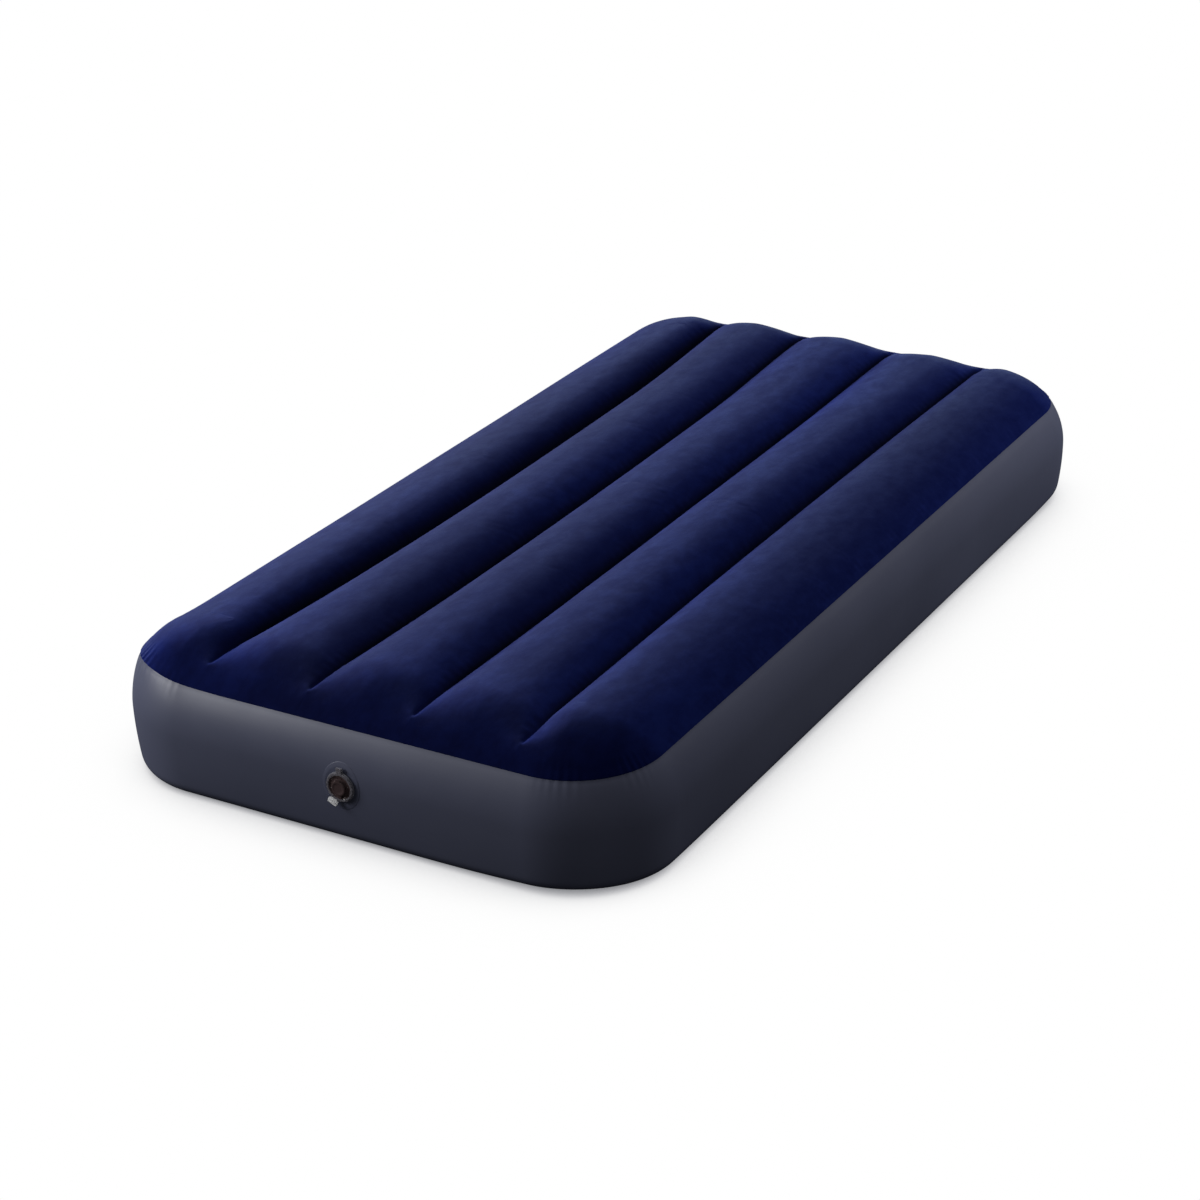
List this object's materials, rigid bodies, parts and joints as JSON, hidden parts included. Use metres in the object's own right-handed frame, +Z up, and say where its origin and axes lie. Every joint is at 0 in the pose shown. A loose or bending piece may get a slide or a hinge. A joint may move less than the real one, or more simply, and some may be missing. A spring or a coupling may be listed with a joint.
{
  "type": "air mattress",
  "caption": "Inflatable air bed with long rounded chambers, a flocked top, vinyl side walls, internal tension beams and a two-stage inflation valve in the foot end.",
  "frame": {"origin": "on the floor plane, under the middle of the inflated bed", "axes": "+Z up from the floor; +Y along the bed from the foot end, which holds the valve, to the head end; +X across the bed, to the right of someone standing at the foot and facing the head"},
  "size_m": [0.99, 1.9193, 0.25],
  "materials": {
    "flocked_top": "matte",
    "wall_vinyl": "satin",
    "base_vinyl": "satin",
    "beam_vinyl": "satin",
    "weld_tape": "matte",
    "valve_soft_grey": "satin",
    "valve_clear": "satin",
    "valve_dark": "satin",
    "flap_rubber": "matte"
  },
  "bodies": {
    "base": {"bottom_sheet": "base_vinyl", "side_wall": "wall_vinyl", "wall_join_strip": "wall_vinyl", "beam_1_lower_tape": "weld_tape", "beam_2_lower_tape": "weld_tape", "beam_3_lower_tape": "weld_tape", "beam_4_lower_tape": "weld_tape", "beam_1_web": "beam_vinyl", "beam_2_web": "beam_vinyl", "beam_3_web": "beam_vinyl", "beam_4_web": "beam_vinyl"},
    "top": {"top_sheet": "flocked_top", "beam_1_upper_tape": "weld_tape", "beam_2_upper_tape": "weld_tape", "beam_3_upper_tape": "weld_tape", "beam_4_upper_tape": "weld_tape"},
    "valve": {"valve_collar": "valve_soft_grey", "stopper_strap": "valve_clear"},
    "stopper": {"stopper": "valve_dark", "stopper_ring": "valve_clear", "cap_strap": "valve_dark", "flap_root": "flap_rubber", "flap_clamp_bar": "valve_dark"},
    "cap": {"valve_cap": "valve_dark"},
    "flap": {"one_way_flap": "flap_rubber"}
  },
  "joints": [
    {"name": "top_sink", "type": "slide", "parent": "base", "child": "top", "axis": [0, 0, -1], "range_m": [0, 0.06], "stiffness_N_per_m": 6000, "deforming": ["side_wall", "wall_join_strip", "beam_1_web", "beam_2_web", "beam_3_web", "beam_4_web"]},
    {"name": "valve_drop", "type": "slide", "parent": "base", "child": "valve", "axis": [0, 0, -1], "range_m": [0, 0.0312]},
    {"name": "stopper_swing", "type": "hinge", "parent": "valve", "child": "stopper", "pos_m": [0, -0.9589, 0.134], "axis": [-1, 0, 0], "range_deg": [0, 110], "deforming": ["stopper_strap"]},
    {"name": "cap_swing", "type": "hinge", "parent": "stopper", "child": "cap", "pos_m": [0, -0.9607, 0.089], "axis": [1, 0, 0], "range_deg": [0, 100], "deforming": ["cap_strap"]},
    {"name": "flap_swing", "type": "hinge", "parent": "stopper", "child": "flap", "pos_m": [0, -0.9446, 0.1158], "axis": [1, 0, 0], "range_deg": [0, 35]}
  ],
  "couplings": [
    {"joint": "valve_drop", "follows": "top_sink", "ratio": 0.5184}
  ]
}
